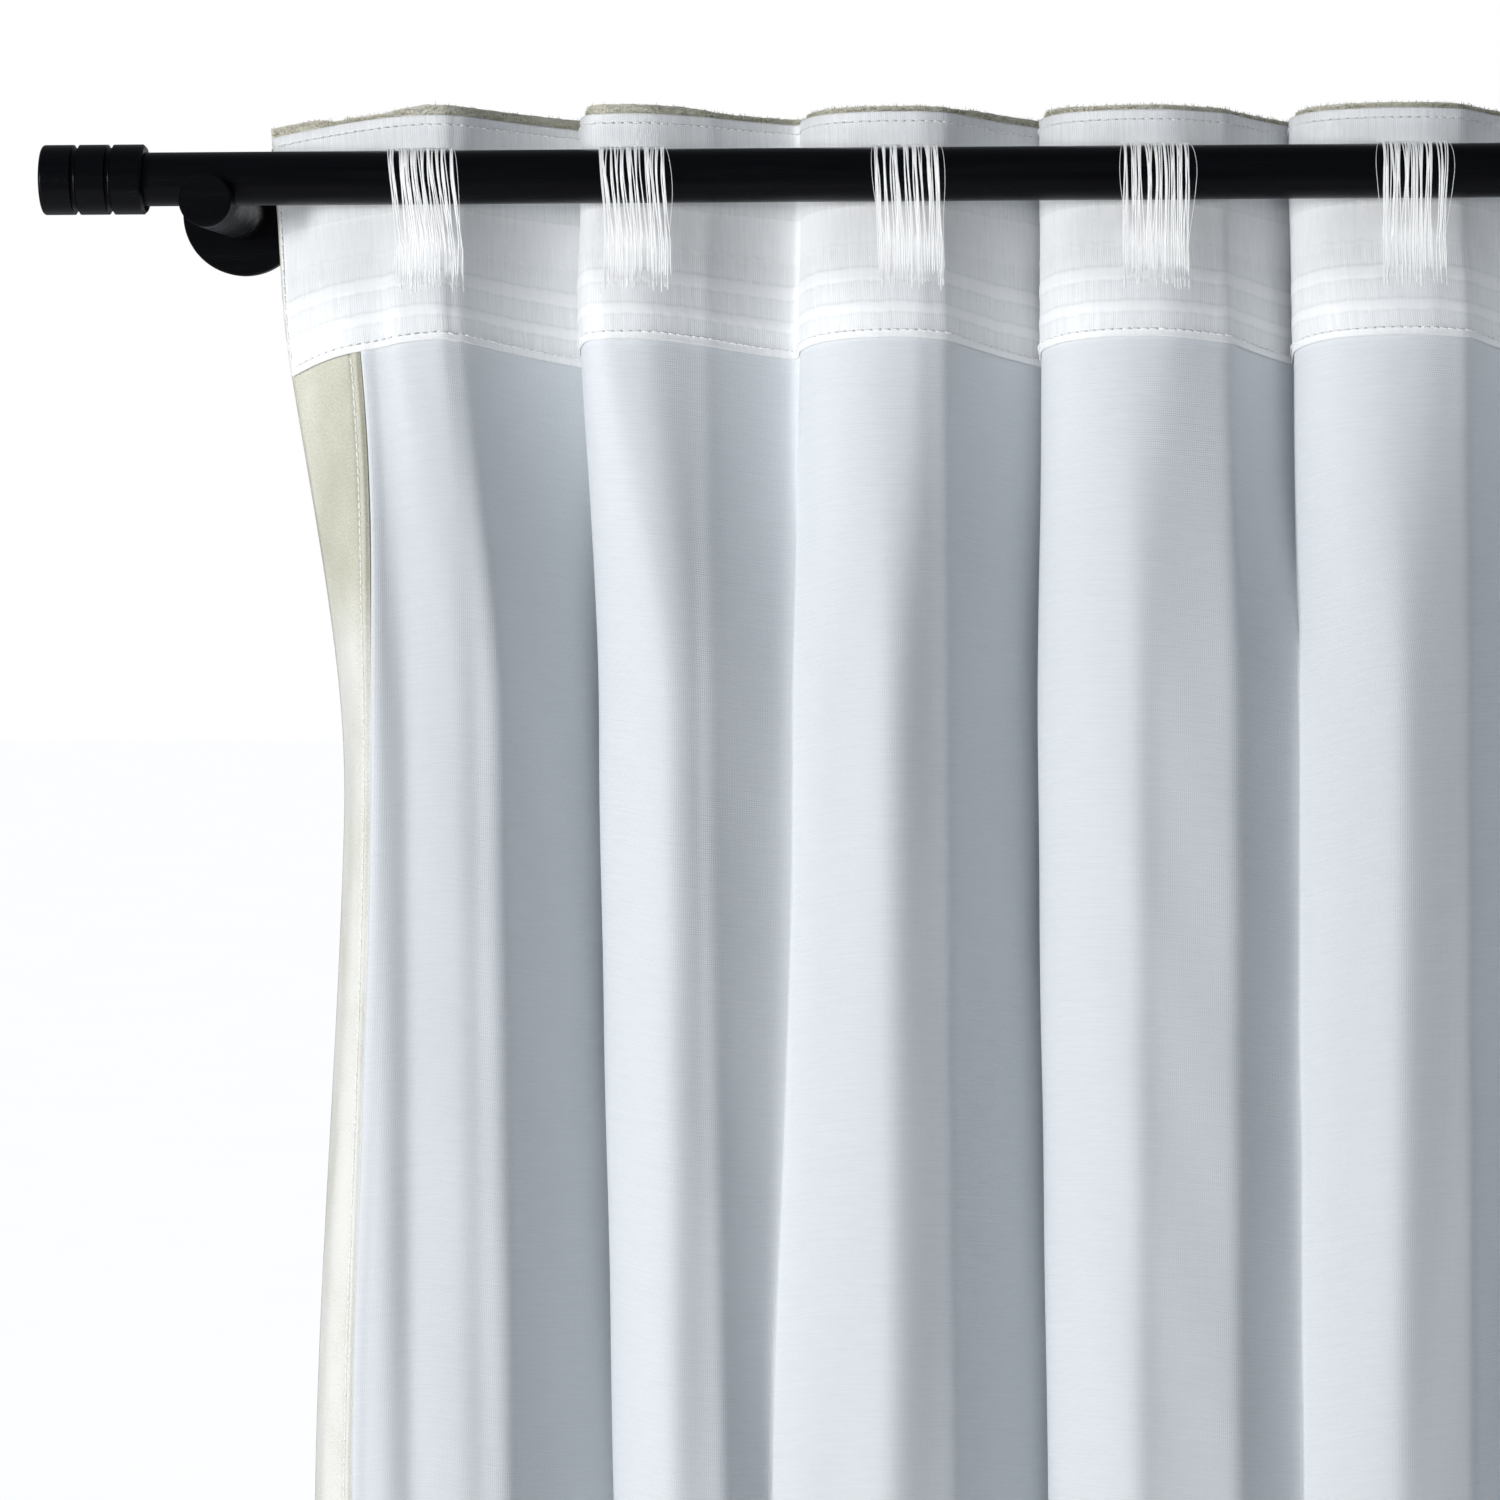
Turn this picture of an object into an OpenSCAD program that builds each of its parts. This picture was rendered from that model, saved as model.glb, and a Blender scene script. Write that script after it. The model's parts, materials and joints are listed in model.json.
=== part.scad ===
// Lined curtain panel hung by thread loops on a round metal rod, on two wall brackets.
// X runs along the rod, Y points into the wall and Z is up, in millimetres.
// The wall is the plane Y = 0. The origin is midway between the two wall plates.

/* [Rod] */
// Outer diameter of the rod
rod_d = 25.4; // [24:0.1:26]
// Wall thickness of the rod tube
rod_wall = 1.2; // [0.8:0.1:2]
// Distance from the wall to the rod's axis
rod_projection = 110; // [90:1:140]
// How far the rod's end stands past the bracket arm's axis
rod_overhang = 30.5; // [20:0.5:60]

/* [Brackets] */
// Diameter of the bracket arm
arm_d = 25; // [22:0.5:28]
// How far the arm's axis lies below the rod's axis
arm_drop = 11; // [8:0.5:12]
// How far the arm's end disc stands in front of the rod's axis
arm_nose = 18; // [16:0.5:24]
// Diameter of the round base that covers the wall plate
base_d = 60; // [58:1:80]
// Depth of the round base
base_depth = 8; // [8:0.5:12]
// Height between the two screw holes of a wall plate
screw_spacing = 36; // [32:1:38]
// Diameter of the screw holes of a wall plate
screw_hole_d = 5; // [4:0.1:6]

/* [Finials] */
// Diameter of the finial
finial_d = 33; // [30:0.5:40]
// Length of the finial
finial_len = 49; // [46:1:70]
// Width of the two round grooves
groove_w = 3; // [2:0.1:5]

/* [Curtain] */
// Length of the panel from its top edge to its bottom edge
cloth_len = 2134; // [1200:1:2700]
// Depth of the folds, from front to back
fold_depth = 55; // [20:1:60]
// Distance from a side edge of the panel to the nearest loop
side_margin = 73; // [60:1:90]
// Distance from a side edge of the panel to the nearest bracket arm's axis
edge_to_arm = 26; // [20:1:60]
// Width of the side hems
side_hem = 40; // [30:1:50]
// Height of the heading tape
tape_h = 110; // [90:1:120]
// Width of a thread loop
loop_w = 30; // [20:1:32]

/* [Hidden] */
$fn = 64;
eps = 0.5;

// Gaps between neighbouring loops, as the folds are dressed along the rod
loop_gaps = [100, 129, 117, 120, 117, 117, 117, 117];

function sum_to(list, n) = n <= 0 ? 0 : list[n - 1] + sum_to(list, n - 1);

hung_w = sum_to(loop_gaps, len(loop_gaps)) + 2 * side_margin;
edge_x = hung_w / 2;
arm_x = edge_x + edge_to_arm;
rod_end = arm_x + rod_overhang;

// X of loop i, counted from 1 at the left
function loop_x(i) = -edge_x + side_margin + sum_to(loop_gaps, i - 1);

rod_r = rod_d / 2;
rod_z = arm_drop;
saddle_r = rod_r + 0.1;

base_wall = 3;
base_front = 1.8;
plate_rim_gap = 0.5;
plate_front_gap = 0.2;
plate_r = base_d / 2 - base_wall - plate_rim_gap;
plate_t = base_depth - base_front - plate_front_gap;
spigot_r = 5;
grub_r = 2;
grub_socket_af = 2;
screw_head_r = 4.7;
screw_seat = 3;
fit = 0.05;

groove_r = groove_w / 2;
finial_round = 1.5;
finial_bevel = 1.2;
plug_stem_r = 7;
plug_stem_len = 22;
plug_len = 28;

// Thicknesses of the cloth layers, and the gap between two of them
face_t = 2;
lining_t = 1;
tape_t = 1;
layer_gap = 0.3;
thread_t = 1.2;
thread_gap = 0.3;

// How far the cloth's top edge stands above the rod's axis, and what the other layers keep clear of the edges
head_rise = 36;
tape_below_top = 4;
lining_below_tape_top = 6;
lining_above_bottom = 25;
lining_from_hem = 1;
tape_from_side = 3;

top_edge = rod_z + head_rise;
tape_top = top_edge - tape_below_top;
lining_top = tape_top - lining_below_tape_top;
bottom_edge = top_edge - cloth_len;
lining_bottom = bottom_edge + lining_above_bottom;

// Where a loop starts and ends, from the rod's axis upwards
loop_high = 17;
loop_low = -53;

// The layers meet at this Y where a loop holds them against the rod
crest_y = -rod_projection + rod_r + 2 * thread_gap + tape_t + lining_t + 2 * layer_gap;
margin_depth = fold_depth / 3;
steps_per_fold = 12;

// Y of the plane between face and lining, at t = 0 to 1 from one loop to the next
function fold_y(t) = crest_y + fold_depth * (1 - cos(360 * t)) / 2;

// Y in the margin, at t = 0 at the loop to 1 at the side edge
function margin_y(t) = crest_y + margin_depth * (1 - cos(180 * t)) / 2;

// Points along the hung panel, seen from above, from the left edge to the right edge
function hung_line() = concat(
    [for (k = [steps_per_fold : -1 : 1])
        [loop_x(1) - side_margin * k / steps_per_fold, margin_y(k / steps_per_fold)]],
    [for (i = [0 : len(loop_gaps) - 1]) for (k = [0 : steps_per_fold - 1])
        [loop_x(i + 1) + loop_gaps[i] * k / steps_per_fold, fold_y(k / steps_per_fold)]],
    [for (k = [0 : steps_per_fold])
        [edge_x - side_margin * (1 - k / steps_per_fold), margin_y(k / steps_per_fold)]]
);

// A wavy layer of cloth between Y offsets near and far, and heights low and high, inset from both side edges
module layer(near, far, low, high, inset) {
    line = [for (p = hung_line()) if (abs(p[0]) <= edge_x - inset) p];
    back = [for (p = line) [p[0], p[1] + far]];
    front = [for (k = [len(line) - 1 : -1 : 0]) [line[k][0], line[k][1] + near]];
    translate([0, 0, low])
        linear_extrude(high - low)
            polygon(concat(back, front));
}

// Its children, drawn for the left bracket at X = 0, at the left or right end of the rod
module at_end(side) {
    translate([side * arm_x, 0, 0])
        mirror([side > 0 ? 1 : 0, 0, 0])
            children();
}

// A round solid about the Y axis, from its profile of [radius, distance in front of the wall]
module turned_from_wall(profile) {
    rotate([90, 0, 0])
        rotate_extrude()
            polygon(profile);
}

// A headless screw along Z, with its hexagon socket in its lower end
module grub_screw(length) {
    difference() {
        cylinder(r = grub_r, h = length);
        translate([0, 0, -eps])
            cylinder(r = grub_socket_af / sqrt(3), h = length / 3 + eps, $fn = 6);
    }
}

module wall_plate(side) {
    color("silver")
        at_end(side)
            difference() {
                turned_from_wall([[0, 0], [plate_r, 0], [plate_r, plate_t], [0, plate_t]]);
                for (z = [-1, 1] * screw_spacing / 2)
                    translate([0, 0, z])
                        rotate([90, 0, 0]) {
                            translate([0, 0, -eps])
                                cylinder(d = screw_hole_d, h = plate_t + 2 * eps);
                            translate([0, 0, screw_seat])
                                cylinder(r = screw_head_r, h = plate_t);
                        }
            }
}

module bracket_base(side) {
    rim = base_d / 2;
    chamfer = 0.8;
    color("#1b1b1d")
        at_end(side)
            difference() {
                turned_from_wall([
                    [spigot_r + fit, base_depth - base_front],
                    [rim - base_wall, base_depth - base_front],
                    [rim - base_wall, 0],
                    [rim, 0],
                    [rim, base_depth - chamfer],
                    [rim - chamfer, base_depth],
                    [spigot_r + fit, base_depth]
                ]);
                translate([0, -plate_t / 2, -rim - eps])
                    cylinder(r = grub_r + fit, h = base_wall + 2 * eps);
            }
}

module bracket_arm(side) {
    arm_r = arm_d / 2;
    reach = rod_projection + arm_nose;
    chamfer = 0.8;
    color("#1b1b1d")
        at_end(side)
            difference() {
                turned_from_wall([
                    [0, base_depth - base_front],
                    [spigot_r, base_depth - base_front],
                    [spigot_r, base_depth],
                    [arm_r, base_depth],
                    [arm_r, reach - chamfer],
                    [arm_r - chamfer, reach],
                    [0, reach]
                ]);
                translate([-arm_d, -rod_projection, rod_z])
                    rotate([0, 90, 0])
                        cylinder(r = saddle_r, h = 2 * arm_d);
                translate([-arm_d, -rod_projection - saddle_r, rod_z])
                    cube([2 * arm_d, 2 * saddle_r, arm_d]);
                translate([0, -rod_projection, -arm_d])
                    cylinder(r = grub_r + fit, h = arm_d);
            }
}

module base_grub_screw(side) {
    gap = 0.2;
    color("dimgray")
        at_end(side)
            translate([0, -plate_t / 2, -base_d / 2 + gap])
                grub_screw(base_d / 2 - plate_r - 2 * gap);
}

module rod_set_screw(side) {
    gap = 0.3;
    length = 8;
    color("dimgray")
        at_end(side)
            translate([0, -rod_projection, rod_z - saddle_r - gap - length])
                grub_screw(length);
}

module rod() {
    color("#202024")
        translate([-rod_end, -rod_projection, rod_z])
            rotate([0, 90, 0])
                difference() {
                    cylinder(r = rod_r, h = 2 * rod_end);
                    translate([0, 0, -eps])
                        cylinder(r = rod_r - rod_wall, h = 2 * rod_end + 2 * eps);
                }
}

// Its children, drawn along Z from the rod's end outwards, at the left or right end
module past_rod_end(side) {
    translate([side * rod_end, -rod_projection, rod_z])
        rotate([0, side * 90, 0])
            children();
}

module finial(side) {
    r = finial_d / 2;
    color("#17171a")
        past_rod_end(side)
            rotate_extrude()
                difference() {
                    union() {
                        polygon([
                            [0, 0], [r - finial_bevel, 0], [r, finial_bevel],
                            [r, finial_len - finial_round],
                            [r - finial_round, finial_len - finial_round],
                            [r - finial_round, finial_len], [0, finial_len]
                        ]);
                        intersection() {
                            translate([r - finial_round, finial_len - finial_round])
                                circle(r = finial_round);
                            translate([r - finial_round, finial_len - finial_round])
                                square(finial_round);
                        }
                    }
                    for (k = [1, 2])
                        translate([r, k * finial_len / 3])
                            circle(r = groove_r);
                    square([plug_stem_r + fit, plug_stem_len + fit]);
                }
}

module finial_plug(side) {
    lead_in = 1.5;
    r = rod_r - rod_wall - fit;
    color("#3a3a3c")
        past_rod_end(side)
            rotate_extrude()
                polygon([
                    [0, -plug_len], [r - lead_in, -plug_len], [r, -plug_len + lead_in],
                    [r, -fit], [plug_stem_r, -fit],
                    [plug_stem_r, plug_stem_len], [0, plug_stem_len]
                ]);
}

module face_fabric() {
    hem_near = -layer_gap - lining_t;
    color("#dedbc8")
        union() {
            layer(0, face_t, bottom_edge, top_edge, 0);
            for (side = [-1, 1])
                intersection() {
                    layer(hem_near, layer_gap, bottom_edge, lining_top, 0);
                    translate([side * (edge_x - side_hem / 2) - side_hem / 2, -rod_projection, bottom_edge])
                        cube([side_hem, rod_projection, cloth_len]);
                }
        }
}

module lining() {
    color("#c8d0da")
        layer(-layer_gap - lining_t, -layer_gap, lining_bottom, lining_top, side_hem + lining_from_hem);
}

module heading_tape() {
    near = -2 * layer_gap - lining_t - tape_t;
    color("#f2f3f4")
        layer(near, near + tape_t, tape_top - tape_h, tape_top, tape_from_side);
}

// A band of threads from the tape, over and down the front of the rod, and back to the tape
module thread_loop(i) {
    inner = rod_r + thread_gap;
    middle = inner + thread_t / 2;
    outer = inner + thread_t;
    end_y = middle - thread_t;
    top = [end_y, loop_high];
    low = [end_y, loop_low];
    from_angle = atan2(top[1], top[0]) + acos(middle / norm(top));
    to_angle = 360 + atan2(low[1], low[0]) - acos(middle / norm(low));
    arc_steps = 14;
    turn = (to_angle - from_angle) / arc_steps;
    along = [for (k = [0 : arc_steps]) from_angle + k * turn];
    function ray(a) = [cos(a), sin(a)];
    half = thread_t / 2;
    outside = concat(
        [top + half * ray(from_angle)],
        [for (a = along) outer * ray(a)],
        [low + half * ray(to_angle)]
    );
    inside = concat(
        [low - half * ray(to_angle)],
        [for (k = [arc_steps : -1 : 0]) inner * ray(along[k])],
        [top - half * ray(from_angle)]
    );
    color("#f4f4f0")
        translate([loop_x(i), -rod_projection, rod_z])
            rotate([90, 0, 90])
                linear_extrude(loop_w, center = true)
                    polygon(concat(outside, inside));
}

wall_plate(-1);  // wall_plate_left
wall_plate(1);  // wall_plate_right
bracket_base(-1);  // bracket_base_left
bracket_base(1);  // bracket_base_right
bracket_arm(-1);  // bracket_arm_left
bracket_arm(1);  // bracket_arm_right
base_grub_screw(-1);  // base_grub_screw_left
base_grub_screw(1);  // base_grub_screw_right
rod_set_screw(-1);  // rod_set_screw_left
rod_set_screw(1);  // rod_set_screw_right
rod();
finial(-1);  // finial_left
finial(1);  // finial_right
finial_plug(-1);  // finial_plug_left
finial_plug(1);  // finial_plug_right
face_fabric();
lining();
heading_tape();
thread_loop(1);  // thread_loop_1
thread_loop(2);  // thread_loop_2
thread_loop(3);  // thread_loop_3
thread_loop(4);  // thread_loop_4
thread_loop(5);  // thread_loop_5
thread_loop(6);  // thread_loop_6
thread_loop(7);  // thread_loop_7
thread_loop(8);  // thread_loop_8
thread_loop(9);  // thread_loop_9
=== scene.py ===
"""The looks of a lined curtain panel, hung by thread loops on a metal rod, in the frame of its CAD model."""
import json
import math

import bpy
import numpy as np
from mathutils import Matrix, Vector

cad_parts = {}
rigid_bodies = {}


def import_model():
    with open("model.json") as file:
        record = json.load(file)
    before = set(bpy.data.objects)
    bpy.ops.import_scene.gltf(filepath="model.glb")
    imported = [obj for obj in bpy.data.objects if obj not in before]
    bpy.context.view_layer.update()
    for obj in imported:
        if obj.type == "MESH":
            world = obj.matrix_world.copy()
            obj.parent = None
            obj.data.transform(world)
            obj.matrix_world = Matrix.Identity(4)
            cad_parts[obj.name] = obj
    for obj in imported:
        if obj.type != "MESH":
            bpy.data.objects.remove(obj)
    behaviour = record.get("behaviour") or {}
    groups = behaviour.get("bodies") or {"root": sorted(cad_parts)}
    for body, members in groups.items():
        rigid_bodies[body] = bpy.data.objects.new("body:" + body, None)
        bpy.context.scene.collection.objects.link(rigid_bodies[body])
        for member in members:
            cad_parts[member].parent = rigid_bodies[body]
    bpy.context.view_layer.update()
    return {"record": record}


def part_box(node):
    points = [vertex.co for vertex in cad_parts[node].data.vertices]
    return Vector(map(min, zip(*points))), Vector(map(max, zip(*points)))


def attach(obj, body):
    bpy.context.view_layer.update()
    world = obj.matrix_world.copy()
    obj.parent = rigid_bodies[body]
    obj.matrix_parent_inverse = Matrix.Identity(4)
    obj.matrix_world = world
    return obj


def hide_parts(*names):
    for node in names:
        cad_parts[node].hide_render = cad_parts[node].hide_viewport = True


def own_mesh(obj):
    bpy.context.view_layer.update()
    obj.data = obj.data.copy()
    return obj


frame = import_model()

# ---------------------------------------------------------------- sizes and places, in metres
MM = 0.001
LOOPS = 9
ROD_LO, ROD_HI = (np.array(c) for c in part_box("rod"))
ROD_Y, ROD_Z = (ROD_LO[1] + ROD_HI[1]) / 2, (ROD_LO[2] + ROD_HI[2]) / 2
ROD_R = (ROD_HI[2] - ROD_LO[2]) / 2
CLOTH_LO, CLOTH_HI = (np.array(c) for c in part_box("face_fabric"))
TAPE_LO, TAPE_HI = (np.array(c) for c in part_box("heading_tape"))
LINING_LO, LINING_HI = (np.array(c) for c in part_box("lining"))
LOOP_BOX = [tuple(np.array(c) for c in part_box(f"thread_loop_{i + 1}")) for i in range(LOOPS)]
LOOP_X = np.array([(lo[0] + hi[0]) / 2 for lo, hi in LOOP_BOX])
FIRST_LO, FIRST_HI = LOOP_BOX[0]
LOOP_W = FIRST_HI[0] - FIRST_LO[0]
EDGE_X = CLOTH_HI[0]

# The cloth's flat size, and places on it: s runs from its left edge and v down from its top edge
FLAT_W = 1524 * MM
FLAT_L = CLOTH_HI[2] - CLOTH_LO[2]
SIDE_HEM = 40 * MM
BOTTOM_HEM = 85 * MM
TAPE_SLIP = 1.5 * MM
TAPE_TOP = CLOTH_HI[2] - TAPE_HI[2] + TAPE_SLIP
TAPE_H = TAPE_HI[2] - TAPE_LO[2]
TAPE_INSET = 2 * MM
LINING_TOP = CLOTH_HI[2] - LINING_HI[2]
LINING_END = CLOTH_HI[2] - LINING_LO[2]


def smooth(low, high, t):
    """0 below low, 1 above high, and a smooth step between."""
    u = np.clip((t - low) / (high - low), 0, 1)
    return u * u * (3 - 2 * u)


# ---------------------------------------------------------------- the hung cloth
# The folds between the loops, at the heading and lower down. Distances are in mm, and depths are shares of
# the fold depth. Past the left loop: the shoulder where the front face ends, and its depth. Before the right
# loop: where the next fold turns, how far the trough is tucked behind that turn, and the trough's depth.
FOLDS = [
    # the heading, lower down, and the drift of the turn further down
    ((17, 0.06, 24, 7, 1.0), (37, 0.10, 17, 8, 1.0), 6),
    ((34, 0.24, 48, -4, 0.7), (36, 0.07, 53, -3, 0.36), -13),
    ((18, 0.06, 51, 2, 1.0), (20, 0.19, 53, 7, 1.0), 5),
    ((33, 0.22, 52, 1, 1.0), (38, 0.08, 50, -2, 0.40), 3),
    ((24, 0.08, 44, 2, 1.0), (28, 0.17, 46, 7, 1.0), -6),
    ((18, 0.06, 40, 1, 1.0), (31, 0.18, 44, 7, 0.95), 7),
    ((28, 0.15, 48, -4, 0.8), (30, 0.08, 46, -3, 0.50), -8),
    ((17, 0.06, 42, 2, 1.0), (30, 0.19, 47, 7, 1.0), 6),
]
# The side margins from the edge inwards, as distance from the nearest loop in mm and share of the fold depth
MARGIN_HEAD = [(76, 0.27), (66, 0.21), (55, 0.155), (44, 0.105), (35, 0.06), (27, 0.03), (19, 0.01)]
MARGIN_LOW = [(39, 0.55), (35, 0.36), (30, 0.14), (22, 0.02), (15, 0.04), (8, 0.10), (0, 0.08)]
# Points further out than MARGIN_FREE drift outwards, by MARGIN_DRIFT in all
MARGIN_DRIFT, MARGIN_FREE = 18, 28
# The front of each fold, in mm: half its width at the heading and lower down
CREST_HEAD, CREST_LOW = 12, 6
# How far the front's middle lies past its loop: HEAD_APEX at the heading. Lower down it is FIRST_APEX at the
# first loop, and elsewhere FLANK past the fold's turn, but at most LAST_APEX
HEAD_APEX, FLANK, FIRST_APEX, LAST_APEX = -4, 48, 20, 22
# Lower down, how deep the first front lies, and how much the right side of each front falls back
FIRST_DEPTH, CREST_FALL = 0.06, 0.03
# The shoulder is this wide in mm, and the turn's rim stands this far before the trough
SHOULDER_W, RIM_W = 5, 1.5


def mix(a, b, w):
    return a + (b - a) * w


def control_points(w, drift, edge_w, edge_drift):
    """The cloth seen from above, as (x, share of the fold depth), from the left edge to the right edge."""
    points = []

    def margin(side, loop):
        rows = []
        for (x_head, y_head), (x_low, y_low) in zip(MARGIN_HEAD, MARGIN_LOW):
            outwards = mix(x_head, x_low, edge_w) + MARGIN_DRIFT * edge_drift * (x_low > MARGIN_FREE)
            rows.append((loop + side * outwards * MM, mix(y_head, y_low, edge_w)))
        return rows

    points += margin(-1, LOOP_X[0])
    apex = mix(0, FIRST_APEX, w)
    for i, loop in enumerate(LOOP_X):
        half = mix(CREST_HEAD, CREST_LOW, w)
        first = FIRST_DEPTH * w * (i == 0)
        points += [
            (loop + (apex - half) * MM, first),
            (loop + apex * MM, first),
            (loop + (apex + half) * MM, first + CREST_FALL * w),
        ]
        if i == LOOPS - 1:
            break
        heading, lower, drifting = FOLDS[i]
        shoulder, shoulder_depth, turn, tuck, floor = (mix(a, b, w) for a, b in zip(heading, lower))
        after = LOOP_X[i + 1]
        apex = mix(HEAD_APEX, min(LAST_APEX, FLANK - lower[2]), w)
        shoulder = loop + (shoulder + 0.5 * drift * abs(drifting)) * MM
        turn = after - (turn - drift * drifting) * MM
        trough = turn + tuck * MM
        reach = after + (apex - half) * MM - turn
        edge = min(floor, 0.5)
        points += [
            (shoulder - SHOULDER_W * MM, 0.86 * shoulder_depth),
            (shoulder, shoulder_depth),
            (mix(shoulder, trough, 0.10), mix(shoulder_depth, floor, 0.16)),
            (mix(shoulder, trough, 0.5), mix(shoulder_depth, floor, 0.60)),
            (mix(shoulder, trough, 0.85), mix(shoulder_depth, floor, 0.93)),
            (trough, floor),
            (turn + RIM_W * MM, mix(edge, floor, 0.6)),
            (turn, edge),
            (turn + mix(0.10, 0.16, w) * reach, 0.64 * edge),
            (turn + mix(0.35, 0.55, w) * reach, mix(0.10, 0.12, w)),
        ]
    points += margin(1, LOOP_X[-1])[::-1]
    return np.array(points)


SPLINE_STEPS = 10


def spline(points):
    """A uniform cubic B-spline through the control points' neighbourhood, clamped at both ends."""
    padded = np.concatenate([points[:1], points[:1], points, points[-1:], points[-1:]])
    t = np.arange(SPLINE_STEPS)[:, None] / SPLINE_STEPS
    weights = np.stack([(1 - t) ** 3, 3 * t**3 - 6 * t**2 + 4, -3 * t**3 + 3 * t**2 + 3 * t + 1, t**3]) / 6
    runs = [sum(weights[k] * padded[i + k] for k in range(4)) for i in range(len(padded) - 3)]
    return np.concatenate(runs + [points[-1:]])


SHALLOWEST, DEEPEST = 5 * MM, 90 * MM
HALVINGS = 22


def hung_level(w, drift, edge_w, edge_drift):
    """One level of the cloth: its line and the fold depth that gives the line the cloth's flat width."""
    line = spline(control_points(w, drift, edge_w, edge_drift))
    low, high = SHALLOWEST, DEEPEST
    for _ in range(HALVINGS):
        depth = (low + high) / 2
        length = np.hypot(np.diff(line[:, 0]), np.diff(line[:, 1]) * depth).sum()
        low, high = (depth, high) if length < FLAT_W else (low, depth)
    return line, depth


# The grid of flat places at which the hung cloth is worked out, closer together in the heading
HEAD_V = 0.16
GRID_S, GRID_V, GRID_HEAD = 720, 300, 90
FLAT_S = np.linspace(0, FLAT_W, GRID_S)
HEAD_LEVELS = np.linspace(0, HEAD_V, GRID_HEAD, endpoint=False)
FLAT_V = np.concatenate([HEAD_LEVELS, np.linspace(HEAD_V, FLAT_L, GRID_V - GRID_HEAD)])
# How far the cloth sags between the loops and at its side edges, at its top and by the tape's lower edge, and
# how far all of it has settled there
SAG_TOP, SAG_BELOW = 5 * MM, 8 * MM
EDGE_SAG_TOP, EDGE_SAG_BELOW = 8 * MM, 4 * MM
SETTLE = 3 * MM
# Levels between which the heading's folds turn into the lower ones, and between which those drift sideways
FOLD_CHANGE, FOLD_DRIFT = (0.07, 0.30), (0.30, 0.75)
MARGIN_CHANGE, MARGIN_DRIFTS = (-0.04, 0.33), (0.26, 0.70)
# The cloth lies against the rod's back at its top. Between the levels of UNDER_ROD it comes in under the rod
BEHIND_ROD, IN_FRONT = ROD_R + 4.3 * MM, 9 * MM
UNDER_ROD = (0.030, 0.105)
SWAY = 2.5 * MM


def cloth_grid():
    """The hung cloth's middle surface at each flat (v, s), with unit normals towards the room."""
    rng = np.random.default_rng(7)
    sway = [(rng.uniform(0.9, 1.8), rng.uniform(0, 6.3)) for _ in range(3)]
    x, y = np.zeros((GRID_V, GRID_S)), np.zeros((GRID_V, GRID_S))
    for j, v in enumerate(FLAT_V):
        w = float(smooth(*FOLD_CHANGE, v))
        drift = float(smooth(*FOLD_DRIFT, v)) + 0.5 * float(smooth(0.8, 1.5, v)) * math.sin(3 * v)
        line, depth = hung_level(w, drift, float(smooth(*MARGIN_CHANGE, v)), float(smooth(*MARGIN_DRIFTS, v)))
        crest_y = mix(ROD_Y + BEHIND_ROD, ROD_Y - IN_FRONT, float(smooth(*UNDER_ROD, v)))
        s = np.concatenate([[0], np.cumsum(np.hypot(np.diff(line[:, 0]), np.diff(line[:, 1]) * depth))])
        s *= FLAT_W / s[-1]
        x[j] = np.interp(FLAT_S, s, line[:, 0])
        share = np.interp(FLAT_S, s, line[:, 1])
        y[j] = crest_y + share * depth
        if j == 0:
            # between the loops, and past the outer ones, the cloth hangs lower
            past = np.maximum(LOOP_X[0] - x[0], x[0] - LOOP_X[-1]) / (EDGE_X - LOOP_X[-1])
            margin = np.clip(past, 0, 1) ** 1.3
            top_z = CLOTH_HI[2] - SAG_TOP * share - EDGE_SAG_TOP * margin
            droop = SETTLE + SAG_BELOW * share + EDGE_SAG_BELOW * margin
    swell = sum(np.sin(k * FLAT_V[:, None] * 2.1 + p + 5 * FLAT_S[None]) for k, p in sway) / 3
    y += SWAY * swell * smooth(0.3, 1.2, FLAT_V)[:, None]
    dv = np.diff(FLAT_V)[:, None]
    fall = np.sqrt(np.maximum(dv**2 - np.diff(x, axis=0) ** 2 - np.diff(y, axis=0) ** 2, (0.5 * dv) ** 2))
    z = top_z - np.concatenate([np.zeros((1, GRID_S)), np.cumsum(fall, axis=0)])
    settled = smooth(0.02, 0.115, FLAT_V) * (1 - 0.7 * smooth(0.4, 1.6, FLAT_V))
    z -= settled[:, None] * droop
    points = np.stack([x, y, z], axis=-1)
    along_s = np.gradient(points, FLAT_S, axis=1)
    down = np.gradient(points, FLAT_V, axis=0)
    normals = np.cross(along_s, -down)
    normals /= np.linalg.norm(normals, axis=-1, keepdims=True)
    return points, -normals if normals[0, GRID_S // 2, 1] > 0 else normals


CLOTH_P, CLOTH_N = cloth_grid()


def on_cloth(s, v):
    """Points and normals of the cloth's middle surface at flat coordinates s and v."""
    s, v = np.broadcast_arrays(np.asarray(s, float), np.asarray(v, float))
    fs = np.clip(np.interp(s, FLAT_S, np.arange(GRID_S)), 0, GRID_S - 1.001)
    fv = np.clip(np.interp(v, FLAT_V, np.arange(GRID_V)), 0, GRID_V - 1.001)
    i, j = fs.astype(int), fv.astype(int)
    a, b = (fs - i)[..., None], (fv - j)[..., None]

    def blend(grid):
        above = (1 - a) * grid[j, i] + a * grid[j, i + 1]
        below = (1 - a) * grid[j + 1, i] + a * grid[j + 1, i + 1]
        return (1 - b) * above + b * below

    n = blend(CLOTH_N)
    return blend(CLOTH_P), n / np.linalg.norm(n, axis=-1, keepdims=True)


ROD_LEVEL = 20 * MM


def flat_s_at(x):
    """The flat coordinate, at the heading, of the cloth behind a place on the rod."""
    row = int(np.searchsorted(FLAT_V, ROD_LEVEL))
    return float(np.interp(x, CLOTH_P[row, :, 0], FLAT_S))


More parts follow.
